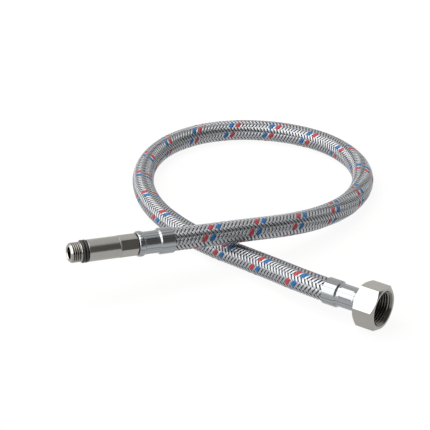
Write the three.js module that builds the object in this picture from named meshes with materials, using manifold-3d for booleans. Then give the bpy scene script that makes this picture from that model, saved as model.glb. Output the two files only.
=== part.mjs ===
// Braided flexible tap connector: a long M10 tail, a steel-braided rubber hose and a G3/8 swivel nut.
// Millimetres, +Z up. The hose lies on z = 0 in one loose loop and passes over itself near the tail.
// +X is the axis that the swivel nut turns on, pointing out of the nut.
import * as THREE from 'three';
import { mergeVertices } from 'three/addons/utils/BufferGeometryUtils.js';
import Module from 'manifold-3d';

const wasm = await Module();
wasm.setup();

// Clearance between pieces that touch in the real assembly.
const GAP = 0.3;

// How far a cutting solid reaches past what it cuts, and its hollow core, well inside every bore.
const OVERCUT = 1.0;
const CUTTER_CORE = 0.2;

// Hose: a rubber tube in a woven steel sleeve.
const HOSE_OD = 11.9;
const BRAID_WALL = 0.55;
const RUBBER_WALL = 1.1;
const HOSE_SIDES = 12;
const HOSE_STEPS = 44;

// Crimped ferrule, the same at both ends but for its bead.
const FERRULE_LENGTH = 18.6;
const FERRULE_WALL = 0.35;
const CRIMP_WALL = 0.35;
const CRIMP_END = 10.6;
const STEP_LENGTH = 2.0;
const LIP_THICKNESS = 0.6;
const CRIMP_FLATS = 8;
const CRIMP_FLAT_DEPTH = 0.12;
const CRIMP_FLAT_MARGIN = 0.5;
const CRIMP_TURN_DEG = 12;
const TAIL_BEAD = { length: 3.3, rise: 0.7, round: 1.0, roundStart: 0.4, roundDrop: 0.3 };
const NUT_BEAD = { length: 1.8, rise: 0.35, round: 0.5, roundStart: 0.2, roundDrop: 0.15 };

// Stem that both fittings push into the hose.
const STEM_LENGTH = 15.0;
const STEM_BORE = 5.0;
const BARB_DEPTH = 0.35;
const BARB_COUNT = 3;
const BARB_PITCH = 4.2;
const BARB_START = 1.2;
const BARB_TAPER = 3.2;
const NECK_DIAMETER = 8.0;
const NECK_LENGTH = 1.5;

// Long M10 tail, measured from its threaded tip.
const THREAD_DIAMETER = 10.0;
const THREAD_LENGTH = 5.8;
const TIP_CHAMFER = 0.9;
const TAIL_BORE = 6.0;
const BORE_CHAMFER = 0.4;
const BORE_TAPER = 1.0;
const O_RING_SECTION = 1.35;
const O_RING_OD = 11.35;
const O_RING_CLEARANCE = 0.2;
const BARREL_DIAMETER = 11.0;
const BARREL_LENGTH = 16.1;
const HEX_ACROSS_FLATS = 10.0;
const HEX_ACROSS_CORNERS = 11.1;
const HEX_LENGTH = 9.4;
const HEX_TURN_DEG = 30;
const EDGE_BREAK = 0.25;

// G3/8 swivel nut, measured from its front face.
const NUT_ACROSS_FLATS = 20.0;
const NUT_LENGTH = 11.6;
const NUT_BACK_WALL = 2.0;
const NUT_FRONT_FACE = 20.0;
const NUT_BACK_FACE = 19.0;
const NUT_CHAMFER_SLOPE = 0.577;
const THREAD_MINOR = 15.0;
const THREAD_MOUTH = 16.8;
const NUT_TURN_DEG = 11;

// Insert that carries the nut, and the washer in front of it.
const FLANGE_THICKNESS = 1.5;
const SHOULDER_DIAMETER = 10.0;
const WASHER_THICKNESS = 1.5;
const WASHER_BORE = 8.0;

// Where the rubber hose ends inside each fitting. The hose leaves the tail at this heading from +X, and
// the tail's tip is tilted up.
const TAIL_END = [-48.5, -5.4, 23.05];
const TAIL_HEADING_DEG = 59.0;
const TAIL_RISE_DEG = 4.2;
const NUT_END = [57.3, 27.3, 10.93];

// The hose runs straight this far past each ferrule's mouth.
const MOUTH_LEAD = 2.0;

// Centreline of the hose between its two straight, crimped ends.
const LOOP_POINTS = [
  [-28.9, 26.3, 20.3], [-19.5, 42.6, 18.8], [-11.8, 57.5, 16.7], [-5.7, 74.5, 13.9],
  [-2.9, 90.8, 11.2], [-1.9, 108.9, 8.9], [-3.9, 126.2, 7.15], [-9.3, 144.3, 6.25],
  [-18.7, 159.8, 6.0], [-33.7, 173.1, 6.0], [-52.2, 180.9, 6.0], [-72.2, 182.3, 6.0],
  [-91.7, 177.7, 6.0], [-109.1, 167.6, 6.0], [-122.2, 152.4, 6.0], [-128.8, 133.6, 6.0],
  [-128.1, 113.5, 6.0], [-121.5, 94.5, 6.0], [-110.5, 77.7, 6.0], [-96.0, 63.7, 6.0],
  [-79.1, 52.9, 6.0], [-60.4, 45.4, 6.0], [-40.8, 40.6, 6.1], [-20.9, 37.7, 6.8],
  [-1.0, 34.7, 7.9], [15.7, 31.0, 9.4], [26.5, 28.5, 10.5],
];

const ROUND = 32;
const RING_SECTION = 8;

const hoseRadius = HOSE_OD / 2;
const braidInner = hoseRadius - BRAID_WALL;
const rubberOuter = braidInner - GAP;
const rubberInner = rubberOuter - RUBBER_WALL;
const barbRadius = rubberInner - GAP;
const neckRadius = NECK_DIAMETER / 2;
const crimpInner = rubberOuter + GAP;
const crimpOuter = crimpInner + CRIMP_WALL;
const flareInner = hoseRadius + GAP;
const flareOuter = flareInner + FERRULE_WALL;
const flareStart = CRIMP_END + STEP_LENGTH;
const flangeRadius = THREAD_MINOR / 2 - GAP;

// Stations along the tail, from its tip towards the hose.
const grooveWidth = 2 * O_RING_SECTION + 3 * O_RING_CLEARANCE;
const barrelStart = THREAD_LENGTH + grooveWidth;
const hexStart = barrelStart + BARREL_LENGTH;
const hexEnd = hexStart + HEX_LENGTH;
const tailNeckEnd = hexEnd + NECK_LENGTH;
const tailHoseStart = tailNeckEnd + GAP;

// Stations along the nut end, from the nut's front face back towards the hose.
const socketDepth = NUT_LENGTH - NUT_BACK_WALL;
const flangeBack = socketDepth - GAP;
const flangeFront = flangeBack - FLANGE_THICKNESS;
const washerFront = flangeFront - GAP - WASHER_THICKNESS;
const shoulderEnd = NUT_LENGTH + GAP;
const nutNeckEnd = shoulderEnd + NECK_LENGTH;
const nutHoseStart = nutNeckEnd + GAP;

const nickel = new THREE.MeshStandardMaterial({ color: 0xa29d94, roughness: 0.3, metalness: 1.0 });
const steel = new THREE.MeshStandardMaterial({ color: 0xc4c6c8, roughness: 0.2, metalness: 1.0 });
const braidSteel = new THREE.MeshStandardMaterial({ color: 0xa9abad, roughness: 0.35, metalness: 0.9 });
const blackRubber = new THREE.MeshStandardMaterial({ color: 0x1c1c1d, roughness: 0.6, metalness: 0.0 });

// Turns a closed [x, r] outline around the X axis. The outline runs clockwise with r up and x to the right.
function turned(outline, segments = ROUND) {
  const points = outline.map(([x, r]) => new THREE.Vector2(r, x));
  const geometry = new THREE.LatheGeometry([...points, points[0].clone()], segments);
  return geometry.rotateZ(-Math.PI / 2);
}

// A right prism along X from x = start, with a flat's normal at turn degrees from +Y towards +Z.
function prism(sides, acrossFlats, start, length, turnDeg) {
  const corner = acrossFlats / 2 / Math.cos(Math.PI / sides);
  const shape = new THREE.Shape();
  for (let i = 0; i < sides; i += 1) {
    const angle = THREE.MathUtils.degToRad(turnDeg) + (2 * i + 1) * Math.PI / sides;
    const point = [-corner * Math.sin(angle), corner * Math.cos(angle)];
    if (i === 0) shape.moveTo(...point);
    else shape.lineTo(...point);
  }
  shape.closePath();
  const geometry = new THREE.ExtrudeGeometry(shape, { depth: length, bevelEnabled: false });
  return geometry.rotateY(Math.PI / 2).translate(start, 0, 0);
}

function solid(geometry) {
  const bare = geometry.clone();
  bare.deleteAttribute('normal');
  bare.deleteAttribute('uv');
  const merged = mergeVertices(bare, 1e-5);
  return new wasm.Manifold(new wasm.Mesh({
    numProp: 3,
    vertProperties: new Float32Array(merged.attributes.position.array),
    triVerts: new Uint32Array(merged.index.array),
  }));
}

function geometryOf(manifold) {
  const mesh = manifold.getMesh();
  const geometry = new THREE.BufferGeometry();
  geometry.setAttribute('position', new THREE.BufferAttribute(mesh.vertProperties, 3));
  geometry.setIndex(new THREE.BufferAttribute(mesh.triVerts, 1));
  geometry.computeVertexNormals();
  return geometry;
}

// What lies outside a prism but inside a ring: taking it away leaves flats on a round bar.
function flatsCutter(sides, acrossFlats, outerRadius, start, length, turnDeg) {
  const end = start + length;
  const ring = turned([[start, CUTTER_CORE], [start, outerRadius], [end, outerRadius], [end, CUTTER_CORE]]);
  const core = prism(sides, acrossFlats, start - OVERCUT, length + 2 * OVERCUT, turnDeg);
  return solid(ring).subtract(solid(core));
}

// Outline of the barbed stem from its free end back to where it starts, in [x, r].
function barbOutline(start) {
  const root = barbRadius - BARB_DEPTH;
  const points = [[start + STEM_LENGTH, root]];
  for (let i = BARB_COUNT - 1; i >= 0; i -= 1) {
    const crest = start + BARB_START + i * BARB_PITCH;
    points.push([crest + BARB_TAPER, root], [crest, barbRadius], [crest, root]);
  }
  points.push([start, root]);
  return points;
}

function tailGeometry() {
  const thread = THREAD_DIAMETER / 2;
  const barrel = BARREL_DIAMETER / 2;
  const bore = TAIL_BORE / 2;
  const grooveFloor = O_RING_OD / 2 - O_RING_SECTION - GAP;
  const corners = HEX_ACROSS_CORNERS / 2;
  const edge = EDGE_BREAK;
  const outline = [
    [0, bore + BORE_CHAMFER],
    [0, thread - TIP_CHAMFER],
    [TIP_CHAMFER, thread],
    [THREAD_LENGTH, thread],
    [THREAD_LENGTH, grooveFloor],
    [barrelStart, grooveFloor],
    [barrelStart, barrel - edge],
    [barrelStart + edge, barrel],
    [hexStart, barrel],
    [hexStart, corners],
    [hexEnd - edge, corners],
    [hexEnd, corners - edge],
    [hexEnd, neckRadius],
    [tailNeckEnd, neckRadius],
    ...barbOutline(tailNeckEnd).reverse(),
    [tailNeckEnd + STEM_LENGTH, STEM_BORE / 2],
    [hexEnd - BORE_TAPER, STEM_BORE / 2],
    [hexEnd - 2 * BORE_TAPER, bore],
    [BORE_CHAMFER, bore],
  ];
  const over = corners + OVERCUT;
  const flats = flatsCutter(6, HEX_ACROSS_FLATS, over, hexStart, HEX_LENGTH, HEX_TURN_DEG);
  return geometryOf(solid(turned(outline)).subtract(flats));
}

function ferruleGeometry(bead) {
  const lipRadius = neckRadius + GAP;
  const beadRadius = crimpOuter + bead.rise;
  const outline = [
    [0, lipRadius],
    [0, crimpOuter - bead.rise],
    [bead.roundStart, beadRadius - bead.roundDrop],
    [bead.round, beadRadius],
    [bead.length - bead.round, beadRadius],
    [bead.length, crimpOuter],
    [CRIMP_END, crimpOuter],
    [flareStart - FERRULE_WALL, flareOuter],
    [FERRULE_LENGTH, flareOuter],
    [FERRULE_LENGTH, flareInner],
    [flareStart, flareInner],
    [CRIMP_END, crimpInner],
    [LIP_THICKNESS, crimpInner],
    [LIP_THICKNESS, lipRadius],
  ];
  const flatStart = bead.length + CRIMP_FLAT_MARGIN;
  const flatLength = CRIMP_END - CRIMP_FLAT_MARGIN - flatStart;
  const acrossFlats = 2 * (crimpOuter - CRIMP_FLAT_DEPTH);
  const over = crimpOuter + OVERCUT;
  const flats = flatsCutter(CRIMP_FLATS, acrossFlats, over, flatStart, flatLength, CRIMP_TURN_DEG);
  return geometryOf(solid(turned(outline)).subtract(flats));
}

function nutGeometry() {
  const corner = NUT_ACROSS_FLATS / 2 / Math.cos(Math.PI / 6);
  const front = NUT_FRONT_FACE / 2;
  const back = NUT_BACK_FACE / 2;
  const over = corner + OVERCUT;
  const envelope = [
    [0, CUTTER_CORE],
    [0, front],
    [(over - front) * NUT_CHAMFER_SLOPE, over],
    [NUT_LENGTH - (over - back) * NUT_CHAMFER_SLOPE, over],
    [NUT_LENGTH, back],
    [NUT_LENGTH, CUTTER_CORE],
  ];
  const minor = THREAD_MINOR / 2;
  const mouth = THREAD_MOUTH / 2;
  const hole = SHOULDER_DIAMETER / 2 + GAP;
  const bore = [
    [-OVERCUT, CUTTER_CORE / 2],
    [-OVERCUT, mouth],
    [0, mouth],
    [mouth - minor, minor],
    [socketDepth, minor],
    [socketDepth, hole],
    [NUT_LENGTH + OVERCUT, hole],
    [NUT_LENGTH + OVERCUT, CUTTER_CORE / 2],
  ];
  const length = NUT_LENGTH + 2 * OVERCUT;
  const hex = solid(prism(6, NUT_ACROSS_FLATS, -OVERCUT, length, NUT_TURN_DEG + 30));
  return geometryOf(hex.intersect(solid(turned(envelope))).subtract(solid(turned(bore))));
}

function insertGeometry() {
  const shoulder = SHOULDER_DIAMETER / 2;
  const bore = STEM_BORE / 2;
  return turned([
    [flangeFront, bore],
    [flangeFront, flangeRadius],
    [flangeBack, flangeRadius],
    [flangeBack, shoulder],
    [shoulderEnd, shoulder],
    [shoulderEnd, neckRadius],
    [nutNeckEnd, neckRadius],
    ...barbOutline(nutNeckEnd).reverse(),
    [nutNeckEnd + STEM_LENGTH, bore],
  ]);
}

function washerGeometry() {
  const back = washerFront + WASHER_THICKNESS;
  const bore = WASHER_BORE / 2;
  return turned([[washerFront, bore], [washerFront, flangeRadius], [back, flangeRadius], [back, bore]]);
}

function oRingGeometry(centre) {
  const section = O_RING_SECTION / 2;
  const radius = O_RING_OD / 2 - section;
  const ring = new THREE.TorusGeometry(radius, section, RING_SECTION, ROUND);
  return ring.rotateY(Math.PI / 2).translate(centre, 0, 0);
}

// The hose's centreline, and the part of it between two insets measured along the line.
const heading = THREE.MathUtils.degToRad(TAIL_HEADING_DEG);
const rise = THREE.MathUtils.degToRad(TAIL_RISE_DEG);
const tailTurn = new THREE.Euler(0, rise, heading, 'ZYX');
const tailDirection = new THREE.Vector3(1, 0, 0).applyEuler(tailTurn);
const nutDirection = new THREE.Vector3(1, 0, 0);
const tailEnd = new THREE.Vector3(...TAIL_END);
const nutEnd = new THREE.Vector3(...NUT_END);
const centreline = new THREE.CatmullRomCurve3([
  tailEnd,
  tailEnd.clone().addScaledVector(tailDirection, FERRULE_LENGTH / 2),
  tailEnd.clone().addScaledVector(tailDirection, FERRULE_LENGTH - MOUTH_LEAD),
  tailEnd.clone().addScaledVector(tailDirection, FERRULE_LENGTH + MOUTH_LEAD),
  ...LOOP_POINTS.map((point) => new THREE.Vector3(...point)),
  nutEnd.clone().addScaledVector(nutDirection, -FERRULE_LENGTH - MOUTH_LEAD),
  nutEnd.clone().addScaledVector(nutDirection, -FERRULE_LENGTH + MOUTH_LEAD),
  nutEnd.clone().addScaledVector(nutDirection, -FERRULE_LENGTH / 2),
  nutEnd,
]);
centreline.arcLengthDivisions = 1200;

// Even steps between the insets; with full ends, one more step at each end runs out to the hose's ends.
class HoseStretch extends THREE.Curve {
  constructor(insets, steps, fullEnds) {
    super();
    const total = centreline.getLength();
    const even = Array.from({ length: steps + 1 }, (_, i) =>
      THREE.MathUtils.lerp(insets[0], total - insets[1], i / steps));
    this.stations = (fullEnds ? [0, ...even, total] : even).map((s) => s / total);
  }

  getPoint(t, target = new THREE.Vector3()) {
    const place = t * (this.stations.length - 1);
    const i = Math.min(Math.floor(place), this.stations.length - 2);
    const u = THREE.MathUtils.lerp(this.stations[i], this.stations[i + 1], place - i);
    return centreline.getPointAt(THREE.MathUtils.clamp(u, 0, 1), target);
  }

  getPointAt(u, target) {
    return this.getPoint(u, target);
  }

  getTangentAt(u, target = new THREE.Vector3()) {
    const place = u * (this.stations.length - 1);
    const i = Math.min(Math.floor(place), this.stations.length - 2);
    const v = THREE.MathUtils.lerp(this.stations[i], this.stations[i + 1], place - i);
    return centreline.getTangentAt(THREE.MathUtils.clamp(v, 0, 1), target);
  }
}

function tubeGeometry(outer, inner, path, steps) {
  const shape = new THREE.Shape();
  const hole = new THREE.Path();
  for (let i = 0; i < HOSE_SIDES; i += 1) {
    const angle = 2 * Math.PI * i / HOSE_SIDES;
    const at = (radius) => [radius * Math.cos(angle), radius * Math.sin(angle)];
    if (i === 0) {
      shape.moveTo(...at(outer));
      hole.moveTo(...at(inner));
    } else {
      shape.lineTo(...at(outer));
      hole.lineTo(...at(inner));
    }
  }
  shape.closePath();
  hole.closePath();
  shape.holes.push(hole);
  return new THREE.ExtrudeGeometry(shape, { steps, extrudePath: path, bevelEnabled: false });
}

// The braid ends just past the crimp, in the ferrule's flared mouth; the rubber runs on over the stem.
const ferruleInTail = hexEnd + GAP;
const ferruleInNut = shoulderEnd + GAP;
const insets = [
  ferruleInTail + flareStart + GAP - tailHoseStart,
  ferruleInNut + flareStart + GAP - nutHoseStart,
];
const braidPath = new HoseStretch(insets, HOSE_STEPS, false);
const rubberPath = new HoseStretch(insets, HOSE_STEPS, true);

function mesh(name, geometry, material) {
  const piece = new THREE.Mesh(geometry, material);
  piece.name = name;
  return piece;
}

const tail = new THREE.Group();
tail.position.copy(tailEnd).addScaledVector(tailDirection, -tailHoseStart);
tail.rotation.copy(tailTurn);
const firstRing = THREAD_LENGTH + O_RING_CLEARANCE + O_RING_SECTION / 2;
const secondRing = firstRing + O_RING_SECTION + O_RING_CLEARANCE;
const tailFerrule = mesh('tail_ferrule', ferruleGeometry(TAIL_BEAD), steel);
tailFerrule.position.x = ferruleInTail;
tail.add(
  mesh('m10_tail', tailGeometry(), nickel),
  mesh('o_ring_front', oRingGeometry(firstRing), blackRubber),
  mesh('o_ring_rear', oRingGeometry(secondRing), blackRubber),
  tailFerrule,
);

const nutEndGroup = new THREE.Group();
nutEndGroup.position.copy(nutEnd).addScaledVector(nutDirection, nutHoseStart);
nutEndGroup.rotation.z = Math.PI;
const nutFerrule = mesh('nut_ferrule', ferruleGeometry(NUT_BEAD), steel);
nutFerrule.position.x = ferruleInNut;
nutEndGroup.add(
  mesh('swivel_nut', nutGeometry(), nickel),
  mesh('nut_insert', insertGeometry(), nickel),
  mesh('washer', washerGeometry(), blackRubber),
  nutFerrule,
);

const connector = new THREE.Group();
connector.add(
  mesh('braided_sleeve', tubeGeometry(hoseRadius, braidInner, braidPath, HOSE_STEPS), braidSteel),
  mesh('inner_hose', tubeGeometry(rubberOuter, rubberInner, rubberPath, HOSE_STEPS + 2), blackRubber),
  tail,
  nutEndGroup,
);

export default connector;
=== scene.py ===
"""Flexible tap connector: a steel-braided hose with a long M10 tail and a G3/8 swivel nut.

Sizes are in millimetres, as in the CAD source, and meshes are made in metres.
"""

import math

import bpy
import numpy as np
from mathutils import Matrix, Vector


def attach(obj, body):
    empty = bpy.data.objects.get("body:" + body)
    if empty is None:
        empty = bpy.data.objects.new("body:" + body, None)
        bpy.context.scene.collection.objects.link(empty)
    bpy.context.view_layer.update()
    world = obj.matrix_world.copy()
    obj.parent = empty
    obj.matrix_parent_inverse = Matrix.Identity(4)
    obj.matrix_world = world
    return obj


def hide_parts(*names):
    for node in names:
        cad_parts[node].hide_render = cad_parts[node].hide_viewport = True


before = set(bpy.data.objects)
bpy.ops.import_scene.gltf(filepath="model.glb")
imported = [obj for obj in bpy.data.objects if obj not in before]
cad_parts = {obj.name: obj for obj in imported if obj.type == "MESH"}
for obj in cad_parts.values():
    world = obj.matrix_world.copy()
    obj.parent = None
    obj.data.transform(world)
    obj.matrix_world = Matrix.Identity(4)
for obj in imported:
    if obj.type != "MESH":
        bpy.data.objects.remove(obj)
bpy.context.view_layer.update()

MM = 0.001

# Camera, in metres: a long lens from the front right, well above the hose.
CAMERA_AT = (0.3727, -0.5363, 0.3837)
CAMERA_LOOKS_AT = (-0.0622, 0.0785, 0.0)
LENS_MM = 130.9
SENSOR_MM = 36.0
CLIP_START = 0.01
CLIP_END = 20.0

# Clearance that the CAD pieces keep from each other.
GAP = 0.3

# Turned pieces: radius of a rounded edge, the points along it, and the most of a side that it takes.
EDGE = 0.1
EDGE_POINTS = 5
EDGE_MOST = 0.45
# Spacing of the points along a side. The first and last are an inset away from the side's ends, or a share
# of the side if that is more, and a side shorter than SHORT_SIDE has none.
SPACING = 0.5
WIDE_SPACING = 3.0
END_INSET = 0.04
END_SHARE = 0.02
SHORT_SIDE = 0.1
# Points around a small turned piece, points per thread, and the share of a thread's pitch that is flat.
ROUND_SIDES = 96
THREAD_POINTS = 16
THREAD_FLAT = 0.1
# Sides of the hexagons, and how sharp the crease is where a flat cuts a turned surface.
HEX_SIDES = 6
CREASE_SHARPNESS = 25.0

# Hose: rubber tube in a sleeve of woven ribbons, each of parallel wires.
HOSE_OD = 11.9
RUBBER_RADIUS = 5.1
RUBBER_BORE = 4.0
CORE_STEP = 1.5
CORE_SIDES = 48
CORE_END_GAP = 0.5
CARRIERS = 12
RED_CARRIER = 5
BLUE_CARRIER = 7
BRAID_PITCH = 25.2
BRAID_PHASE_DEG = 42.0
RIBBON_WIDTH = 1.5
TRACER_WIDTH = 2.3
RIBBON_SHARES = (-1.0, -0.6, 0.0, 0.6, 1.0)
RIBBON_RISE = 0.22
RIBBON_DROP = 0.08
RIBBON_STEP = 0.4
OVER_RADIUS = 5.72
UNDER_RADIUS = 5.38
WEAVE_GAIN = 1.2

# The hose lies twisted by half a turn in its first bend.
TWIST_DEG = 180.0
TWIST_START = 80.0
TWIST_END = 230.0

# Ferrule, from its end at the fitting. The braid starts inside its flared mouth.
FERRULE_LENGTH = 18.6
FERRULE_WALL = 0.35
FERRULE_SIDES = 192
CRIMP_INNER = 5.4
CRIMP_OUTER = 5.75
CRIMP_END = 10.6
CRIMP_FLATS = 8
CRIMP_FLAT_DEPTH = 0.12
CRIMP_FLAT_INSET = 0.5
CRIMP_FLAT_FADE = 0.5
CRIMP_FLAT_LIFT = 2.0
CRIMP_TURN_DEG = 12
CRIMP_SHARPNESS = 40.0
CRIMP_SPACING = 0.3
CRIMP_OUTSIDE = CRIMP_INNER + 0.25
STEP_START = 11.0
STEP_END = STEP_START + 0.75
STEP_FILLET = 0.6
STEP_INNER_LAG = 0.15
STEP_INNER_FILLET = 0.3
FLARE_INNER = HOSE_OD / 2 + GAP
FLARE_OUTER = FLARE_INNER + FERRULE_WALL
MOUTH_OUTER_EDGE = 0.15
MOUTH_INNER_EDGE = 0.12
LIP_RADIUS = 4.3
LIP_THICKNESS = 0.6
BRAID_START = 13.0
TAIL_BEAD = {"length": 3.3, "rise": 0.7}
NUT_BEAD = {"length": 1.8, "rise": 0.35}
BEAD_POINTS = 11

# Stem inside the hose, the same on both fittings.
STEM_LENGTH = 15.0
STEM_RADIUS = 3.5
STEM_BORE_RADIUS = 2.5
NECK_RADIUS = 4.0
NECK_LENGTH = 1.5

# Long M10 tail, from its tip.
TAIL_SIDES = 288
THREAD_RADIUS = 5.0
THREAD_LENGTH = 5.8
THREAD_PITCH = 1.0
THREAD_DEPTH = 0.56
THREAD_EDGE = 0.08
THREAD_FADE_START = THREAD_LENGTH - 0.9
THREAD_FADE_END = THREAD_LENGTH - 0.1
# Painted shade in the thread's grooves, darkest at the roots.
THREAD_PAINTED_SHADE = 0.85
TIP_CHAMFER = 0.9
TIP_SPACING = 0.1
TAIL_BORE_RADIUS = 3.0
TAIL_BORE_CHAMFER = 0.4
TAIL_BORE_END = 2.0
TAIL_BORE_CONE = 1.0
TAIL_OUTSIDE = TAIL_BORE_RADIUS + 1.0
O_RING_SECTION = 1.35
O_RING_OD = 11.35
O_RING_CLEARANCE = 0.2
O_RING_POINTS = 20
GROOVE_FLOOR = 4.02
BARREL_RADIUS = 5.5
BARREL_LENGTH = 16.1
BARREL_EDGE = 0.25
HEX_LENGTH = 9.4
HEX_ACROSS_FLATS = 10.0
HEX_CORNER_RADIUS = 5.55
HEX_CORNER_START = 0.05
HEX_TURN_DEG = 30.0
HEX_EDGE = 0.02
HEX_RUNOUT = 0.12
HEX_LIFT = 3.0
HEX_MARGIN = 0.3
HEX_DENSE_END = 0.6
HEX_DENSE_SPACING = 0.08
HEX_FACE_INNER = NECK_RADIUS + 0.4
O_RING_FRONT = THREAD_LENGTH + O_RING_CLEARANCE + O_RING_SECTION / 2
O_RING_REAR = O_RING_FRONT + O_RING_SECTION + O_RING_CLEARANCE
BARREL_START = O_RING_REAR + O_RING_SECTION / 2 + O_RING_CLEARANCE
HEX_START = BARREL_START + BARREL_LENGTH
HEX_END = HEX_START + HEX_LENGTH
TAIL_FERRULE_START = HEX_END + GAP
TAIL_NECK_END = HEX_END + NECK_LENGTH
TAIL_HOSE_START = TAIL_NECK_END + GAP

# Swivel nut and what is in it, from the nut's front face.
NUT_SIDES = 300
NUT_LENGTH = 11.6
NUT_ACROSS_FLATS = 20.0
NUT_TURN_DEG = 41.0
NUT_SHARPNESS = 14.0
NUT_FRONT_RADIUS = 10.0
NUT_BACK_RADIUS = 9.5
NUT_BLANK_RADIUS = NUT_ACROSS_FLATS / 2 / math.cos(math.pi / HEX_SIDES) + 0.6
NUT_CHAMFER_SLOPE = 0.577
NUT_CHAMFER_SPACING = 0.07
NUT_RIM_EDGE = 0.12
NUT_BLANK_EDGE = 0.05
NUT_OUTSIDE = NUT_BACK_RADIUS - 0.4
NUT_MINOR_RADIUS = 7.5
NUT_MOUTH_RADIUS = 9.0
NUT_MOUTH_SPACING = 0.06
NUT_MOUTH_PLAIN = 0.2
NUT_THREAD_PITCH = 1.337
NUT_THREAD_DEPTH = 0.8
NUT_THREAD_MARGIN = 0.1
NUT_BORE_MARGIN = 0.02
# Painted shade in the nut's bore and thread, a little deeper in the grooves, fading in from the front face.
NUT_BORE_PAINTED_SHADE = 0.6
NUT_GROOVE_PAINTED_SHADE = 0.15
NUT_PAINTED_SHADE_END = 0.3
NUT_BACK_WALL = 2.0
NUT_HOLE_RADIUS = 5.3
NUT_HOLE_EDGE = 0.15
FLANGE_RADIUS = 7.2
FLANGE_THICKNESS = 1.5
FLANGE_EDGE = 0.15
SHOULDER_RADIUS = 5.0
SHOULDER_EDGE = 0.12
WASHER_THICKNESS = 1.5
WASHER_BORE_RADIUS = 4.0
WASHER_EDGE = 0.3
WASHER_BORE_EDGE = 0.2
SOCKET_DEPTH = NUT_LENGTH - NUT_BACK_WALL
NUT_RELIEF_START = SOCKET_DEPTH - 1.6
NUT_THREAD_END = SOCKET_DEPTH - 2.2
NUT_THREAD_FADE_START = SOCKET_DEPTH - 2.8
FLANGE_BACK = SOCKET_DEPTH - GAP
FLANGE_FRONT = FLANGE_BACK - FLANGE_THICKNESS
WASHER_BACK = FLANGE_FRONT - GAP
WASHER_FRONT = WASHER_BACK - WASHER_THICKNESS
SHOULDER_END = NUT_LENGTH + GAP
NUT_FERRULE_START = SHOULDER_END + GAP
NUT_NECK_END = SHOULDER_END + NECK_LENGTH
NUT_HOSE_START = NUT_NECK_END + GAP

# Route of the hose's centreline between the ends of the rubber.
TAIL_END = (-48.5, -5.4, 23.05)
TAIL_HEADING_DEG = 59.0
TAIL_RISE_DEG = 4.2
NUT_END = (57.3, 27.3, 10.93)
MOUTH_LEAD = 2.0
LOOP_POINTS = [
    (-28.9, 26.3, 20.3), (-19.5, 42.6, 18.8), (-11.8, 57.5, 16.7), (-5.7, 74.5, 13.9),
    (-2.9, 90.8, 11.2), (-1.9, 108.9, 8.9), (-3.9, 126.2, 7.15), (-9.3, 144.3, 6.25),
    (-18.7, 159.8, 6.0), (-33.7, 173.1, 6.0), (-52.2, 180.9, 6.0), (-72.2, 182.3, 6.0),
    (-91.7, 177.7, 6.0), (-109.1, 167.6, 6.0), (-122.2, 152.4, 6.0), (-128.8, 133.6, 6.0),
    (-128.1, 113.5, 6.0), (-121.5, 94.5, 6.0), (-110.5, 77.7, 6.0), (-96.0, 63.7, 6.0),
    (-79.1, 52.9, 6.0), (-60.4, 45.4, 6.0), (-40.8, 40.6, 6.1), (-20.9, 37.7, 6.8),
    (-1.0, 34.7, 7.9), (15.7, 31.0, 9.4), (26.5, 28.5, 10.5),
]
SPLINE_POINTS = 60
LINE_STEP = 0.5
LINE_SMOOTHING = 5.0
SMOOTHING_REACH = 3

# Materials. A roughness is its least value and what the cloud adds. A cloud is its scale and detail, and
# rings and streaks are their frequency and detail. A bump is in metres.
WHITE = (1.0, 1.0, 1.0, 1.0)
# Colour of the painted shade in threads and bores: dark, and a little brown like bare brass.
PAINTED_SHADE_COLOUR = (0.075, 0.06, 0.055)
CLOUD_PLACES = (0.3, 0.7)
NICKEL_COLOUR = (0.345, 0.337, 0.312)
NICKEL_DULL = 0.93
NICKEL_CLOUD = (220.0, 4.0)
NICKEL_ROUGHNESS = (0.14, 0.12)
NICKEL_RINGS = (9.0, 2.0)
NICKEL_BUMP = 0.000006
STEEL_COLOURS = ((0.17, 0.18, 0.19), (0.34, 0.355, 0.365))
STEEL_PLACES = (0.3, 0.6)
STEEL_CLOUD = (160.0, 3.0)
STEEL_ROUGHNESS = (0.10, 0.10)
STEEL_STREAKS = (7.0, 3.0)
STEEL_BUMP = 0.00007
WIRES = 6
WIRE_PLACES = (0.1, 0.75)
WIRE_CLOUD = (400.0, 2.0)
WIRE_LIGHT = (0.85, 0.3)
WIRE_BUMP = 0.00004
# Painted shade on the braid, at a ribbon's sides and where it dips under another: how fast it fades in from
# a side, and in each look, as edge, the share of the colour left in it.
RIBBON_PAINTED_SHADE_FALL = 2.2
BRAID_LOOK = {"colour": (0.375, 0.385, 0.405), "metallic": 1.0, "roughness": 0.22, "edge": 0.36}
BLUE_LOOK = {"colour": (0.0, 0.13, 0.38), "metallic": 0.0, "roughness": 0.45, "edge": 0.6}
RED_LOOK = {"colour": (0.46, 0.03, 0.045), "metallic": 0.0, "roughness": 0.45, "edge": 0.6}
RUBBER_COLOURS = ((0.012, 0.012, 0.012), (0.022, 0.022, 0.022))
RUBBER_CLOUD = (900.0, 4.0)
RUBBER_ROUGHNESS = (0.38, 0.2)
RUBBER_BUMP = 0.00001

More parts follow.
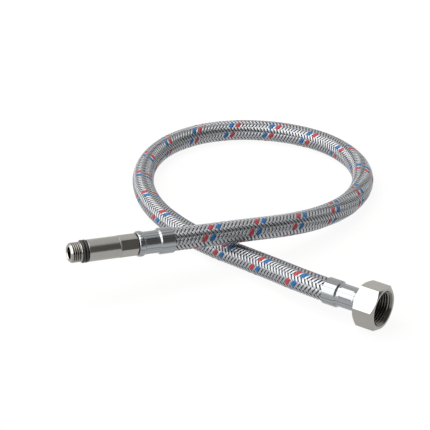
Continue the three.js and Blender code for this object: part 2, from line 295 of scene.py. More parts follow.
# Studio. The levels are what metal mirrors, where 1 is white, and dull surfaces get a share of them. The
# edges are cosines between a direction and the way to the wall, ceiling or panel.
FLOOR_SIZE = 8.0
FLOOR_DROP = 0.00005
FLOOR_COLOUR = (0.60, 0.59, 0.575)
FLOOR_GLOW = 1.08
FLOOR_GLOW_SHARE = 0.85
ROOM_COLOUR = (1.0, 0.995, 0.98)
LIGHT_SHARE = 0.52
ROOM_LEVEL = 0.19
WALL_LEVEL = 1.0
WALL_EDGE = (-0.05, 0.35)
CEILING_LEVEL = 0.95
CEILING_EDGE = (0.78, 0.92)
PANEL_LEVEL = 3.9
PANEL_LEFT_EDGE = (-0.95, -0.80)
PANEL_RIGHT_EDGE = (0.05, 0.22)
PANEL_BACK_EDGE = (-0.15, 0.05)
PANEL_FOOT = (0.0, 0.15)
LAMP_AT = (-0.45, 0.1, 1.1)
LAMP_AIM = (0.0, 0.05, 0.0)
LAMP_SIDE = 0.6
LAMP_POWER = 4.0


def make_camera():
    data = bpy.data.cameras.new("camera")
    data.lens = LENS_MM
    data.sensor_width = SENSOR_MM
    data.clip_start = CLIP_START
    data.clip_end = CLIP_END
    camera = bpy.data.objects.new("camera", data)
    camera.location = CAMERA_AT
    aim = Vector(CAMERA_LOOKS_AT) - Vector(CAMERA_AT)
    camera.rotation_euler = aim.to_track_quat("-Z", "Y").to_euler()
    bpy.context.scene.collection.objects.link(camera)
    bpy.context.scene.camera = camera


def spline(points):
    """Points along the centripetal Catmull-Rom curve through the given points."""
    p = np.array(points, float)
    p = np.vstack([2 * p[0] - p[1], p, 2 * p[-1] - p[-2]])
    pieces = []
    for a, b, c, d in zip(p[:-3], p[1:-2], p[2:-1], p[3:]):
        before, inside, after = (np.linalg.norm(v) ** 0.5 for v in (b - a, c - b, d - c))
        start = (b - a) / before - (c - a) / (before + inside) + (c - b) / inside
        end = (c - b) / inside - (d - b) / (inside + after) + (d - c) / after
        start, end = start * inside, end * inside
        t = np.linspace(0, 1, SPLINE_POINTS, endpoint=False)[:, None]
        pieces.append(b + start * t + (3 * (c - b) - 2 * start - end) * t**2
                      + (2 * (b - c) + start + end) * t**3)
    return np.vstack([*pieces, p[-2]])


def spaced(line, step):
    """The line with points one even step apart."""
    along = np.concatenate([[0], np.cumsum(np.linalg.norm(np.diff(line, axis=0), axis=1))])
    at = np.linspace(0, along[-1], int(round(along[-1] / step)) + 1)
    return np.stack([np.interp(at, along, line[:, k]) for k in range(3)], axis=1)


def eased(line, width, step):
    """The line with its curvature evened out over a width, and its ends kept."""
    reach = int(SMOOTHING_REACH * width / step)
    offsets = np.arange(-reach, reach + 1) * step
    weights = np.exp(-0.5 * (offsets / width) ** 2)
    weights /= weights.sum()
    head = 2 * line[0] - line[reach:0:-1]
    tail = 2 * line[-1] - line[-2:-reach - 2:-1]
    padded = np.vstack([head, line, tail])
    return np.stack([np.convolve(padded[:, k], weights, "valid") for k in range(3)], axis=1)


def ramp(x, start, end):
    """0 before start, 1 after end, and smooth between."""
    t = np.clip((x - start) / (end - start), 0, 1)
    return t * t * (3 - 2 * t)


def tail_axes():
    """The tail's own x axis, from its tip towards the hose, and its y and z axes."""
    heading, rise = math.radians(TAIL_HEADING_DEG), math.radians(TAIL_RISE_DEG)
    level = np.array([math.cos(heading), math.sin(heading), 0.0])
    up = np.array([0.0, 0.0, 1.0])
    along = math.cos(rise) * level - math.sin(rise) * up
    above = math.sin(rise) * level + math.cos(rise) * up
    return along, np.cross(above, along), above


class Route:
    """The hose's centreline, with a frame that twists with it, looked up by distance from the tail."""

    def __init__(self):
        tail_end = np.array(TAIL_END)
        out = tail_axes()[0]
        nut_end = np.array(NUT_END)
        back = np.array([-1.0, 0.0, 0.0])
        leads = (FERRULE_LENGTH / 2, FERRULE_LENGTH - MOUTH_LEAD, FERRULE_LENGTH + MOUTH_LEAD)
        points = [tail_end] + [tail_end + out * d for d in leads]
        points += [np.array(p) for p in LOOP_POINTS]
        points += [nut_end + back * d for d in leads[::-1]] + [nut_end]
        line = eased(spaced(spline(points), LINE_STEP), LINE_SMOOTHING, LINE_STEP)
        self.line = spaced(line, LINE_STEP)
        steps = np.linalg.norm(np.diff(self.line, axis=0), axis=1)
        self.at = np.concatenate([[0], np.cumsum(steps)])
        self.length = self.at[-1]
        tangent = np.gradient(self.line, axis=0)
        tangent /= np.linalg.norm(tangent, axis=1)[:, None]
        normal = np.zeros_like(tangent)
        side = np.array([0.0, 0.0, 1.0])
        for i, t in enumerate(tangent):
            side = side - t * side.dot(t)
            side /= np.linalg.norm(side)
            normal[i] = side
        binormal = np.cross(tangent, normal)
        twist = math.radians(TWIST_DEG) * ramp(self.at, TWIST_START, TWIST_END)[:, None]
        self.normal = np.cos(twist) * normal + np.sin(twist) * binormal
        self.binormal = np.cos(twist) * binormal - np.sin(twist) * normal

    def look_up(self, table, s):
        return np.stack([np.interp(s, self.at, table[:, k]) for k in range(3)], axis=-1)

    def point(self, s, angle, radius):
        """Points at distances, angles and radii, which are arrays of one shape."""
        centre = self.look_up(self.line, s)
        normal = self.look_up(self.normal, s)
        binormal = self.look_up(self.binormal, s)
        out = np.cos(angle)[..., None] * normal + np.sin(angle)[..., None] * binormal
        return centre + radius[..., None] * out


def make_mesh(name, points, quads, attributes=()):
    """A smooth mesh object from points in millimetres and four-sided faces, faces outward."""
    points = np.asarray(points, float).reshape(-1, 3) * MM
    quads = np.asarray(quads, int).reshape(-1, 4)
    a, b, c, d = (points[quads[:, k]] for k in range(4))
    six_volumes = (a * np.cross(b, c)).sum() + (a * np.cross(c, d)).sum()
    if six_volumes < 0:
        quads = quads[:, ::-1]
    mesh = bpy.data.meshes.new(name)
    mesh.vertices.add(len(points))
    mesh.vertices.foreach_set("co", points.ravel())
    mesh.loops.add(quads.size)
    mesh.loops.foreach_set("vertex_index", quads.ravel())
    mesh.polygons.add(len(quads))
    mesh.polygons.foreach_set("loop_start", np.arange(0, quads.size, 4))
    mesh.polygons.foreach_set("loop_total", np.full(len(quads), 4))
    for label, values in attributes:
        layer = mesh.attributes.new(label, "FLOAT", "POINT")
        layer.data.foreach_set("value", np.asarray(values, np.float32).ravel())
    mesh.update(calc_edges=True)
    mesh.validate()
    mesh.polygons.foreach_set("use_smooth", np.ones(len(mesh.polygons), bool))
    piece = bpy.data.objects.new(name, mesh)
    bpy.context.scene.collection.objects.link(piece)
    return piece


def ring_quads(rows, columns, close_rows):
    """Faces of a grid whose columns close on themselves, and its rows too if asked."""
    last = rows if close_rows else rows - 1
    i, j = np.meshgrid(np.arange(last), np.arange(columns), indexing="ij")
    down, right = (i + 1) % rows, (j + 1) % columns
    corners = (i * columns + j, i * columns + right, down * columns + right, down * columns + j)
    return np.stack(corners, axis=-1).reshape(-1, 4)


def hose_core(route):
    """The rubber tube that shows between the ribbons, open along its bore."""
    start, end = CORE_END_GAP, route.length - CORE_END_GAP
    stations = np.linspace(start, end, int((end - start) / CORE_STEP) + 1)
    rows = np.concatenate([stations, stations[::-1]])
    radii = np.repeat([RUBBER_RADIUS, RUBBER_BORE], len(stations))
    angles = np.arange(CORE_SIDES) * 2 * math.pi / CORE_SIDES
    s, angle = np.meshgrid(rows, angles, indexing="ij")
    points = route.point(s, angle, np.broadcast_to(radii[:, None], s.shape))
    return make_mesh("hose_core", points, ring_quads(len(rows), CORE_SIDES, True))


def braid_limits(route):
    """Where the braid starts and ends, just inside the ferrules' flared mouths."""
    at_tail = TAIL_FERRULE_START + BRAID_START - TAIL_HOSE_START
    at_nut = NUT_FERRULE_START + BRAID_START - NUT_HOSE_START
    return at_tail, route.length - at_nut


def ribbons(route, name, carriers, hand, width=RIBBON_WIDTH):
    """Ribbons of one hand of the braid, each over two and under two of the other hand's."""
    low, high = braid_limits(route)
    turn = 2 * math.pi / BRAID_PITCH
    mean_radius = (OVER_RADIUS + UNDER_RADIUS) / 2
    lean = math.atan(mean_radius * turn)
    half = width / 2
    share = np.array(RIBBON_SHARES)
    across = np.append(half * share, 0.0)
    lift = np.append(RIBBON_RISE * (1 - share**2), -RIBBON_DROP)
    cap = np.array([[5, 2, 1, 0], [5, 4, 3, 2]])
    stations = np.linspace(low, high, int((high - low) / RIBBON_STEP) + 1)
    phase = math.radians(BRAID_PHASE_DEG)
    points, quads, sides, heights = [], [], [], []
    count = 0
    for carrier in carriers:
        s = stations[:, None] - hand * across[None, :] * math.sin(lean)
        s = np.clip(s, low, high)
        base = phase + 2 * math.pi * carrier / CARRIERS
        angle = base + hand * turn * stations[:, None] + across[None, :] * math.cos(lean) / mean_radius
        crossing = (angle + hand * turn * s - phase) * CARRIERS / (2 * math.pi)
        swing = np.cos(0.5 * math.pi * (carrier + crossing - 0.5))
        weave = hand * np.clip(WEAVE_GAIN * swing, -1, 1)
        radius = mean_radius + 0.5 * (OVER_RADIUS - UNDER_RADIUS) * weave + lift[None, :]
        points.append(route.point(s, angle, radius).reshape(-1, 3))
        rows, columns = s.shape
        quads += [ring_quads(rows, columns, False) + count, cap + count]
        count += rows * columns
        quads.append(cap[:, ::-1] + count - columns)
        sides.append(np.broadcast_to(across / half, s.shape).ravel())
        # The weave's height, from 0 under to 1 over, which sets the braid's painted shade.
        heights.append(0.5 + 0.5 * weave.ravel())
    attributes = (("across", np.concatenate(sides)), ("height", np.concatenate(heights)))
    return make_mesh(name, np.vstack(points), np.vstack(quads), attributes)


def corner(x, r, edge=EDGE, spacing=SPACING):
    """A corner of an outline, the radius of its edge, and the points' spacing to the next corner."""
    return x, r, edge, spacing


def filleted(corners):
    """A closed outline in (x, r) with the corners' edges rounded."""
    n = len(corners)
    place = np.array([c[:2] for c in corners], float)
    sections = []
    for i, (_, _, edge, _) in enumerate(corners):
        here, before, after = place[i], place[i - 1], place[(i + 1) % n]
        to_before, to_after = before - here, after - here
        room = EDGE_MOST * min(np.linalg.norm(to_before), np.linalg.norm(to_after))
        to_before /= np.linalg.norm(to_before)
        to_after /= np.linalg.norm(to_after)
        angle = math.acos(np.clip(to_before.dot(to_after), -1, 1))
        reach = min(edge / math.tan(angle / 2), room)
        a, b = here + to_before * reach, here + to_after * reach
        t = np.linspace(0, 1, EDGE_POINTS)[:, None]
        sections.append((1 - t) ** 2 * a + 2 * t * (1 - t) * here + t**2 * b)
    outline = []
    for i, (_, _, _, spacing) in enumerate(corners):
        outline.append(sections[i])
        a, b = sections[i][-1], sections[(i + 1) % n][0]
        side = np.linalg.norm(b - a)
        if side > SHORT_SIDE:
            count = max(1, int(side / spacing))
            t = np.concatenate([[END_INSET / side], np.arange(1, count) / count, [1 - END_INSET / side]])
            outline.append(a + np.unique(np.clip(t, END_SHARE, 1 - END_SHARE))[:, None] * (b - a))
    return np.vstack(outline)


def soft_min(a, b, sharpness=CREASE_SHARPNESS):
    """The smaller of two radii, with the crease between them a little rounded."""
    low = np.minimum(a, b)
    return low - np.log1p(np.exp(-sharpness * np.abs(a - b))) / sharpness


def flats(angle, sides, across_flats, turn_deg):
    """Radius of a prism at each angle, where turn_deg is the angle of a flat's middle."""
    sector = 2 * math.pi / sides
    from_flat = (angle - math.radians(turn_deg) + sector / 2) % sector - sector / 2
    return across_flats / 2 / np.cos(from_flat)


def thread(x, angle, pitch, depth):
    """Depth below the crest of a right-handed thread."""
    place = (x / pitch - angle / (2 * math.pi)) % 1.0
    slope = (np.abs(2 * place - 1) - THREAD_FLAT) / (1 - 2 * THREAD_FLAT)
    return depth * np.clip(slope, 0, 1)


def turned(name, corners, segments, to_world, shape=None, painted_shade=None):
    """A piece turned about its own x axis. If given, shape(x, r, angle) changes its radius, and the shade
    function of (x, r) gives the painted shade in its threads and bores."""
    outline = filleted(corners)
    angles = np.arange(segments) * 2 * math.pi / segments
    x, angle = np.meshgrid(outline[:, 0], angles, indexing="ij")
    r = np.broadcast_to(outline[:, 1][:, None], x.shape)
    if shape:
        r = shape(x, r, angle)
    local = np.stack([x, r * np.cos(angle), r * np.sin(angle)], axis=-1)
    quads = ring_quads(len(outline), segments, True)
    dark = painted_shade(x, r) if painted_shade else np.zeros_like(x)
    attributes = (("along", x), ("around", angle), ("painted_shade", dark))
    return make_mesh(name, to_world(local), quads, attributes)


def tail_place(local):
    """From the tail's own axes, x from its tip towards the hose, to the frame's."""
    along, side, above = tail_axes()
    tip = np.array(TAIL_END) - along * TAIL_HOSE_START
    return tip + local[..., :1] * along + local[..., 1:2] * side + local[..., 2:] * above


def nut_place(local):
    """From the nut's own axes, x from its front face towards the hose, to the frame's."""
    face = np.array(NUT_END) + np.array([NUT_HOSE_START, 0, 0])
    return face + local * np.array([-1.0, -1.0, 1.0])


def tail():
    """The long M10 tail: threaded tip, O-ring groove, barrel, hexagon and the stem in the hose."""
    corners = [
        corner(0.0, TAIL_BORE_RADIUS + TAIL_BORE_CHAMFER, THREAD_EDGE),
        corner(0.0, THREAD_RADIUS - TIP_CHAMFER, THREAD_EDGE, TIP_SPACING),
        corner(TIP_CHAMFER, THREAD_RADIUS, EDGE, THREAD_PITCH / THREAD_POINTS),
        corner(THREAD_LENGTH, THREAD_RADIUS, THREAD_EDGE),
        corner(THREAD_LENGTH, GROOVE_FLOOR, THREAD_EDGE),
        corner(BARREL_START, GROOVE_FLOOR, THREAD_EDGE),
        corner(BARREL_START, BARREL_RADIUS, BARREL_EDGE, WIDE_SPACING),
        corner(HEX_START, BARREL_RADIUS, HEX_EDGE),
        corner(HEX_START + HEX_CORNER_START, HEX_CORNER_RADIUS, HEX_EDGE, HEX_DENSE_SPACING),
        corner(HEX_START + HEX_DENSE_END, HEX_CORNER_RADIUS, HEX_EDGE, WIDE_SPACING),
        corner(HEX_END, HEX_CORNER_RADIUS, BARREL_EDGE),
        corner(HEX_END, NECK_RADIUS),
        corner(TAIL_NECK_END, NECK_RADIUS),
        corner(TAIL_NECK_END, STEM_RADIUS, EDGE, WIDE_SPACING),
        corner(TAIL_NECK_END + STEM_LENGTH, STEM_RADIUS),
        corner(TAIL_NECK_END + STEM_LENGTH, STEM_BORE_RADIUS, EDGE, WIDE_SPACING),
        corner(HEX_END - TAIL_BORE_END + TAIL_BORE_CONE, STEM_BORE_RADIUS),
        corner(HEX_END - TAIL_BORE_END, TAIL_BORE_RADIUS, EDGE, WIDE_SPACING),
        corner(TAIL_BORE_CHAMFER, TAIL_BORE_RADIUS, THREAD_EDGE),
    ]

    def shape(x, r, angle):
        outer = r > TAIL_OUTSIDE
        fade = 1 - ramp(x, THREAD_FADE_START, THREAD_FADE_END)
        on_thread = ramp(r, GROOVE_FLOOR, THREAD_RADIUS) * fade
        cut = thread(x, angle, THREAD_PITCH, THREAD_DEPTH) * on_thread
        threaded = np.where(outer & (x < THREAD_LENGTH), np.minimum(r, THREAD_RADIUS - cut), r)
        lift = HEX_LIFT * (1 - ramp(x, HEX_START, HEX_START + HEX_RUNOUT))
        hexagon = flats(angle, HEX_SIDES, HEX_ACROSS_FLATS, HEX_TURN_DEG) + lift
        on_hex = outer & (x > HEX_START - HEX_MARGIN) & (r > HEX_FACE_INNER)
        return np.where(on_hex, soft_min(threaded, hexagon), threaded)

    # Painted shade in the thread's grooves, from the tip's chamfer on.
    def painted_shade(x, r):
        groove = np.clip((THREAD_RADIUS - r) / THREAD_DEPTH, 0, 1)
        on_thread = (x < THREAD_LENGTH) & (r > TAIL_OUTSIDE)
        return np.where(on_thread, THREAD_PAINTED_SHADE * groove * ramp(x, 0.5 * TIP_CHAMFER, TIP_CHAMFER), 0.0)

    return turned("tail_fitting", corners, TAIL_SIDES, tail_place, shape, painted_shade)


def ferrule(name, bead, place, start):
    """A drawn ferrule with a rolled bead, crimped to eight faint flats, then a step and a flared mouth."""
    arc = np.linspace(0, math.pi, BEAD_POINTS)
    along = bead["length"] / 2 * (1 - np.cos(arc))
    radii = CRIMP_OUTER + bead["rise"] * np.sin(arc)
    corners = [
        corner(0.0, LIP_RADIUS),
        *(corner(x, r, EDGE, CRIMP_SPACING) for x, r in zip(along, radii)),
        corner(STEP_START, CRIMP_OUTER, STEP_FILLET),
        corner(STEP_END, FLARE_OUTER, STEP_FILLET, WIDE_SPACING),
        corner(FERRULE_LENGTH, FLARE_OUTER, MOUTH_OUTER_EDGE),
        corner(FERRULE_LENGTH, FLARE_INNER, MOUTH_INNER_EDGE, WIDE_SPACING),
        corner(STEP_END + STEP_INNER_LAG, FLARE_INNER, STEP_INNER_FILLET),
        corner(STEP_START + STEP_INNER_LAG, CRIMP_INNER, STEP_INNER_FILLET, WIDE_SPACING),
        corner(LIP_THICKNESS, CRIMP_INNER),
        corner(LIP_THICKNESS, LIP_RADIUS),
    ]

    def shape(x, r, angle):
        first, last = bead["length"] + CRIMP_FLAT_INSET, CRIMP_END - CRIMP_FLAT_INSET
        on_flats = ramp(x, first, first + CRIMP_FLAT_FADE) * (1 - ramp(x, last - CRIMP_FLAT_FADE, last))
        across = 2 * (CRIMP_OUTER - CRIMP_FLAT_DEPTH)
        prism = flats(angle, CRIMP_FLATS, across, CRIMP_TURN_DEG) + CRIMP_FLAT_LIFT * (1 - on_flats)
        return np.where(r > CRIMP_OUTSIDE, soft_min(r, prism, CRIMP_SHARPNESS), r)

    def shifted(local):
        return place(local + np.array([start, 0.0, 0.0]))

    return turned(name, corners, FERRULE_SIDES, shifted, shape)


def nut():
    """The hexagonal nut, chamfered at both ends, with its thread, relief and back wall."""
    front = (NUT_BLANK_RADIUS - NUT_FRONT_RADIUS) * NUT_CHAMFER_SLOPE
    back = (NUT_BLANK_RADIUS - NUT_BACK_RADIUS) * NUT_CHAMFER_SLOPE
    major = NUT_MINOR_RADIUS + NUT_THREAD_DEPTH
    corners = [
        corner(0.0, NUT_FRONT_RADIUS, NUT_RIM_EDGE, NUT_CHAMFER_SPACING),
        corner(front, NUT_BLANK_RADIUS, NUT_BLANK_EDGE, WIDE_SPACING),
        corner(NUT_LENGTH - back, NUT_BLANK_RADIUS, NUT_BLANK_EDGE, NUT_CHAMFER_SPACING),
        corner(NUT_LENGTH, NUT_BACK_RADIUS, NUT_RIM_EDGE),
        corner(NUT_LENGTH, NUT_HOLE_RADIUS, NUT_HOLE_EDGE),
        corner(SOCKET_DEPTH, NUT_HOLE_RADIUS),
        corner(SOCKET_DEPTH, major),
        corner(NUT_RELIEF_START, major),
        corner(NUT_THREAD_END, NUT_MINOR_RADIUS, NUT_BLANK_EDGE, NUT_THREAD_PITCH / THREAD_POINTS),
        corner(NUT_MOUTH_RADIUS - NUT_MINOR_RADIUS, NUT_MINOR_RADIUS, EDGE, NUT_MOUTH_SPACING),
        corner(0.0, NUT_MOUTH_RADIUS),
    ]
    bore_radius = NUT_MOUTH_RADIUS + NUT_BORE_MARGIN

    def shape(x, r, angle):
        hexagon = flats(angle, HEX_SIDES, NUT_ACROSS_FLATS, NUT_TURN_DEG)
        groove = NUT_THREAD_DEPTH - thread(x, angle, NUT_THREAD_PITCH, NUT_THREAD_DEPTH)
        fade = 1 - ramp(x, NUT_THREAD_FADE_START, NUT_THREAD_END)
        in_bore = (r < bore_radius) & (r > NUT_MINOR_RADIUS - NUT_THREAD_MARGIN)
        on_thread = in_bore & (x < NUT_THREAD_END) & (x > NUT_MOUTH_PLAIN)
        bored = np.where(on_thread, np.maximum(r, NUT_MINOR_RADIUS + groove * fade), r)
        return np.where(r > NUT_OUTSIDE, soft_min(r, hexagon, NUT_SHARPNESS), bored)

    # Painted shade in the bore and its thread, darker in the grooves, fading in from the front face.
    def painted_shade(x, r):
        groove = np.clip((r - NUT_MINOR_RADIUS) / NUT_THREAD_DEPTH, 0, 1)
        depth = NUT_BORE_PAINTED_SHADE * (1 + NUT_GROOVE_PAINTED_SHADE * groove) * ramp(x, 0.0, NUT_PAINTED_SHADE_END)
        return np.where((r < bore_radius) & (x < SOCKET_DEPTH), depth, 0.0)

    return turned("swivel_nut_shell", corners, NUT_SIDES, nut_place, shape, painted_shade)


def insert():
    """The flanged insert that the nut turns on, with the stem in the hose."""
    corners = [
        corner(FLANGE_FRONT, STEM_BORE_RADIUS, FLANGE_EDGE),
        corner(FLANGE_FRONT, FLANGE_RADIUS, FLANGE_EDGE),
        corner(FLANGE_BACK, FLANGE_RADIUS, FLANGE_EDGE),
        corner(FLANGE_BACK, SHOULDER_RADIUS, FLANGE_EDGE),
        corner(SHOULDER_END, SHOULDER_RADIUS, SHOULDER_EDGE),
        corner(SHOULDER_END, NECK_RADIUS),
        corner(NUT_NECK_END, NECK_RADIUS),
        corner(NUT_NECK_END, STEM_RADIUS, EDGE, WIDE_SPACING),
        corner(NUT_NECK_END + STEM_LENGTH, STEM_RADIUS),
        corner(NUT_NECK_END + STEM_LENGTH, STEM_BORE_RADIUS, EDGE, WIDE_SPACING),
    ]
    return turned("nut_tail", corners, ROUND_SIDES, nut_place)


def washer():
    corners = [
        corner(WASHER_FRONT, WASHER_BORE_RADIUS, WASHER_BORE_EDGE),
        corner(WASHER_FRONT, FLANGE_RADIUS, WASHER_EDGE),
        corner(WASHER_BACK, FLANGE_RADIUS, WASHER_EDGE),
        corner(WASHER_BACK, WASHER_BORE_RADIUS, WASHER_BORE_EDGE),
    ]
    return turned("washer_ring", corners, ROUND_SIDES, nut_place)


def o_ring(name, station):
    """An O-ring around the tail, whose middle is at that distance from the tip."""
    section = O_RING_SECTION / 2
    middle = O_RING_OD / 2 - section
    turns = np.arange(O_RING_POINTS) * 2 * math.pi / O_RING_POINTS
    angles = np.arange(ROUND_SIDES) * 2 * math.pi / ROUND_SIDES
    turn, angle = np.meshgrid(turns, angles, indexing="ij")
    r = middle + section * np.cos(turn)
    local = np.stack([station + section * np.sin(turn), r * np.cos(angle), r * np.sin(angle)], axis=-1)
    return make_mesh(name, tail_place(local), ring_quads(O_RING_POINTS, ROUND_SIDES, True))


class Shader:
    """A material or world node tree, built by short calls."""

    def __init__(self, owner):
        owner.use_nodes = True
        self.tree = owner.node_tree
        self.tree.nodes.clear()

    def node(self, kind, inputs=(), **settings):
        made = self.tree.nodes.new(kind)
        for key, value in settings.items():
            setattr(made, key, value)
        for socket, value in dict(inputs).items():
            target = made.inputs[socket]
            if isinstance(value, bpy.types.NodeSocket):
                self.tree.links.new(value, target)
            else:
                target.default_value = value
        return made

    def math(self, operation, a, b=0.0, clamp=False):
        return self.node("ShaderNodeMath", {0: a, 1: b}, operation=operation, use_clamp=clamp).outputs[0]

    def between(self, least, added, share):
        """The least value, and a share of what is added to it."""
        return self.math("ADD", self.math("MULTIPLY", share, added), least)

    def attribute(self, name):
        return self.node("ShaderNodeAttribute", attribute_name=name).outputs["Fac"]

    def cloud(self, scale, detail):
        """Cloudiness through the whole piece."""
        place = self.node("ShaderNodeTexCoord").outputs["Object"]
        inputs = {"Vector": place, "Scale": scale, "Detail": detail}
        return self.node("ShaderNodeTexNoise", inputs).outputs[0]

    def streaks(self, attribute, frequency, detail):
        """Noise that changes only along an attribute."""
        place = self.math("MULTIPLY", self.attribute(attribute), frequency)
        inputs = {"W": place, "Scale": 1.0, "Detail": detail}
        return self.node("ShaderNodeTexNoise", inputs, noise_dimensions="1D").outputs[0]

    def ramp(self, factor, places, colours):
        """From the first colour to the second as the factor goes from the first place to the second."""
        made = self.node("ShaderNodeValToRGB", {0: factor})
        for element, place, colour in zip(made.color_ramp.elements, places, colours):
            element.position = place
            element.color = (*colour, 1.0)
        return made.outputs[0]

    def surface(self, inputs, height, depth):
        """Joins a Principled surface to the output, with a bump of that depth in metres."""
        bump = self.node("ShaderNodeBump", {"Height": height, "Distance": depth, "Strength": 1.0})
        made = self.node("ShaderNodeBsdfPrincipled", {**inputs, "Normal": bump.outputs[0]})
        self.node("ShaderNodeOutputMaterial", {"Surface": made.outputs[0]})


def nickel_material():
    """Nickel plate on turned brass: fine rings from the lathe, a little cloudiness, and painted shade in
    the threads and bores, dark and a little brown like bare brass.
    """
    material = bpy.data.materials.new("nickel_brass")
    shader = Shader(material)
    cloud = shader.cloud(*NICKEL_CLOUD)
    dull = tuple(c * NICKEL_DULL for c in NICKEL_COLOUR)
    plate = shader.ramp(cloud, CLOUD_PLACES, (dull, NICKEL_COLOUR))
    # Painted shade in threads and bores: the plate's colour is mixed towards the dark shade colour.
    tint = shader.node("ShaderNodeMix", {0: shader.attribute("painted_shade"), 6: plate, 7: (*PAINTED_SHADE_COLOUR, 1.0)},
                       data_type="RGBA").outputs[2]
    inputs = {"Base Color": tint, "Metallic": 1.0, "Roughness": shader.between(*NICKEL_ROUGHNESS, cloud)}
    shader.surface(inputs, shader.streaks("along", *NICKEL_RINGS), NICKEL_BUMP)
    return material


def steel_material():
    """Bright drawn steel of the ferrules, with faint streaks along the drawing direction."""
    material = bpy.data.materials.new("bright_steel")
    shader = Shader(material)
    cloud = shader.cloud(*STEEL_CLOUD)
    streak = shader.streaks("around", *STEEL_STREAKS)
    tint = shader.ramp(streak, STEEL_PLACES, STEEL_COLOURS)
    inputs = {"Base Color": tint, "Metallic": 1.0, "Roughness": shader.between(*STEEL_ROUGHNESS, cloud)}
    shader.surface(inputs, streak, STEEL_BUMP)
    return material


def braid_material(name, look):
    """Ribbon of parallel wires or yarns, with painted shade at its sides and where it dips under another.
    """
    material = bpy.data.materials.new(name)
    shader = Shader(material)
    across = shader.attribute("across")
    wave = shader.math("COSINE", shader.math("MULTIPLY", across, WIRES * math.pi / 2))
    wires = shader.math("ABSOLUTE", wave)
    # Painted shade: the colour goes dark towards the ribbon's sides and where the weave takes it under; the
    # cloud adds a random tone.
    middle = shader.math("SUBTRACT", 1.0, shader.math("ABSOLUTE", across))
    clear_of_side_shade = shader.math("MULTIPLY", middle, RIBBON_PAINTED_SHADE_FALL, clamp=True)
    clear_of_painted_shade = shader.math("MULTIPLY", clear_of_side_shade, shader.attribute("height"))
    painted_shade_and_tone = shader.math("MULTIPLY", clear_of_painted_shade, shader.between(*WIRE_LIGHT, shader.cloud(*WIRE_CLOUD)))
    dark = tuple(c * look["edge"] for c in look["colour"])
    tint = shader.ramp(painted_shade_and_tone, WIRE_PLACES, (dark, look["colour"]))
    inputs = {"Base Color": tint, "Metallic": look["metallic"], "Roughness": look["roughness"]}
    shader.surface(inputs, wires, WIRE_BUMP)
    return material


def rubber_material():
    material = bpy.data.materials.new("black_rubber")
    shader = Shader(material)
    cloud = shader.cloud(*RUBBER_CLOUD)
    tint = shader.ramp(cloud, CLOUD_PLACES, RUBBER_COLOURS)
    inputs = {"Base Color": tint, "Roughness": shader.between(*RUBBER_ROUGHNESS, cloud)}
    shader.surface(inputs, cloud, RUBBER_BUMP)
    return material


def paint(piece, material):
    piece.data.materials.clear()
    piece.data.materials.append(material)


def dress(piece, material, body, slot, *nodes):
    """Gives a piece its material and the body it rides on, and hides the CAD nodes it stands for. The slot
    is not used.
    """
    paint(piece, material)
    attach(piece, body)
    if nodes:
        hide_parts(*nodes)


def mirrored(shader):
    """1 for a ray that metal or glass sends on, and 0 for others."""
    light_path = shader.node("ShaderNodeLightPath").outputs
    return shader.math("ADD", light_path["Is Glossy Ray"], light_path["Is Transmission Ray"], clamp=True)


def make_floor():
    bpy.ops.mesh.primitive_plane_add(size=FLOOR_SIZE, location=(0, 0, -FLOOR_DROP))
    floor = bpy.context.object
    floor.name = "floor"
    material = bpy.data.materials.new("floor")
    shader = Shader(material)
    to_camera = shader.node("ShaderNodeLightPath").outputs["Is Camera Ray"]
    plain = shader.node("ShaderNodeBsdfDiffuse", {"Color": (*FLOOR_COLOUR, 1.0)}).outputs[0]
    glow = shader.node("ShaderNodeEmission", {"Color": WHITE, "Strength": FLOOR_GLOW}).outputs[0]
    share = shader.math("MULTIPLY", shader.math("ADD", to_camera, mirrored(shader)), FLOOR_GLOW_SHARE)
    mixed = shader.node("ShaderNodeMixShader", {0: share, 1: plain, 2: glow})
    shader.node("ShaderNodeOutputMaterial", {"Surface": mixed.outputs[0]})
    paint(floor, material)


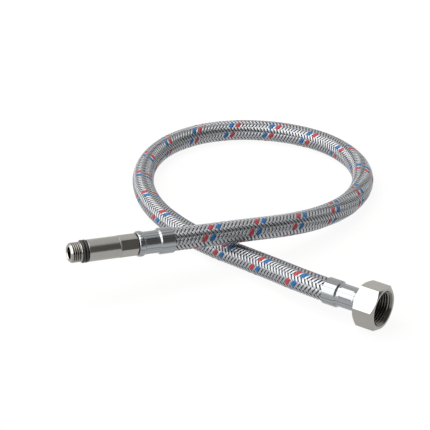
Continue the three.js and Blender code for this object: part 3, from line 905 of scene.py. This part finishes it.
def make_world():
    """White to the camera. Around the object a studio: a large bright panel in front, from the left to the
    middle, pale walls behind, a pale ceiling, and a dark room elsewhere."""
    world = bpy.data.worlds.new("world")
    bpy.context.scene.world = world
    shader = Shader(world)
    direction = shader.node("ShaderNodeTexCoord").outputs["Generated"]
    front = Vector(CAMERA_AT) - Vector(CAMERA_LOOKS_AT)
    front.z = 0.0
    behind = tuple(-front.normalized())

    def towards(axis, start, end):
        """0 to 1 as the cosine between the direction and the axis goes from start to end."""
        cosine = shader.node("ShaderNodeVectorMath", {0: direction, 1: axis}, operation="DOT_PRODUCT")
        inputs = {"Value": cosine.outputs["Value"], "From Min": start, "From Max": end}
        return shader.node("ShaderNodeMapRange", inputs, interpolation_type="SMOOTHSTEP").outputs[0]

    def mix(factor, under, over):
        return shader.node("ShaderNodeMix", {0: factor, 2: under, 3: over}, data_type="FLOAT").outputs[0]

    walls = mix(towards(behind, *WALL_EDGE), ROOM_LEVEL, WALL_LEVEL)
    room = mix(towards((0, 0, 1), *CEILING_EDGE), walls, CEILING_LEVEL)
    left, right = towards((1, 0, 0), *PANEL_LEFT_EDGE), towards((1, 0, 0), *PANEL_RIGHT_EDGE)
    strip = shader.math("SUBTRACT", left, right)
    in_front = shader.math("MULTIPLY", strip, towards((0, -1, 0), *PANEL_BACK_EDGE))
    panel = shader.math("MULTIPLY", in_front, towards((0, 0, 1), *PANEL_FOOT))
    share = mix(mirrored(shader), LIGHT_SHARE, 1.0)
    level = shader.math("MULTIPLY", mix(panel, room, PANEL_LEVEL), share)
    studio = shader.node("ShaderNodeBackground", {"Color": (*ROOM_COLOUR, 1.0), "Strength": level})
    white = shader.node("ShaderNodeBackground", {"Color": WHITE, "Strength": 1.0})
    to_camera = shader.node("ShaderNodeLightPath").outputs["Is Camera Ray"]
    mixed = shader.node("ShaderNodeMixShader", {0: to_camera, 1: studio.outputs[0], 2: white.outputs[0]})
    shader.node("ShaderNodeOutputWorld", {"Surface": mixed.outputs[0]})


def make_lamp():
    """A square softbox overhead, which metal doesn't mirror."""
    data = bpy.data.lights.new("softbox_overhead", "AREA")
    data.shape = "RECTANGLE"
    data.size = data.size_y = LAMP_SIDE
    data.energy = LAMP_POWER
    lamp = bpy.data.objects.new("softbox_overhead", data)
    lamp.location = LAMP_AT
    lamp.rotation_euler = (Vector(LAMP_AIM) - Vector(LAMP_AT)).to_track_quat("-Z", "Y").to_euler()
    lamp.visible_glossy = False
    bpy.context.scene.collection.objects.link(lamp)


make_camera()
route = Route()
core = hose_core(route)
steel_carriers = [c for c in range(CARRIERS) if c not in (BLUE_CARRIER, RED_CARRIER)]
steel_left = ribbons(route, "braid_left_steel", steel_carriers, -1)
tracer_blue = ribbons(route, "tracer_blue", [BLUE_CARRIER], -1, TRACER_WIDTH)
tracer_red = ribbons(route, "tracer_red", [RED_CARRIER], -1, TRACER_WIDTH)
steel_right = ribbons(route, "braid_right_steel", range(CARRIERS), 1)

rubber = rubber_material()
nickel = nickel_material()
steel = steel_material()
braid = braid_material("steel_braid", BRAID_LOOK)
blue = braid_material("tracer_blue_yarn", BLUE_LOOK)
red = braid_material("tracer_red_yarn", RED_LOOK)

dress(core, rubber, "hose", "black_rubber", "inner_hose")
dress(steel_left, braid, "hose", "steel_braid", "braided_sleeve")
dress(steel_right, braid, "hose", "steel_braid", "braided_sleeve")
dress(tracer_blue, blue, "hose", "steel_braid")
dress(tracer_red, red, "hose", "steel_braid")
dress(tail(), nickel, "hose", "nickel_brass", "m10_tail")
dress(o_ring("ring_front", O_RING_FRONT), rubber, "hose", "black_rubber", "o_ring_front")
dress(o_ring("ring_rear", O_RING_REAR), rubber, "hose", "black_rubber", "o_ring_rear")
ferrule_tail = ferrule("ferrule_tail", TAIL_BEAD, tail_place, TAIL_FERRULE_START)
dress(ferrule_tail, steel, "hose", "bright_steel", "tail_ferrule")
ferrule_nut = ferrule("ferrule_nut", NUT_BEAD, nut_place, NUT_FERRULE_START)
dress(ferrule_nut, steel, "hose", "bright_steel", "nut_ferrule")
dress(nut(), nickel, "nut", "nickel_brass", "swivel_nut")
dress(insert(), nickel, "hose", "nickel_brass", "nut_insert")
dress(washer(), rubber, "hose", "black_rubber", "washer")

make_floor()
make_world()
make_lamp()
bpy.context.scene.view_settings.view_transform = "Standard"
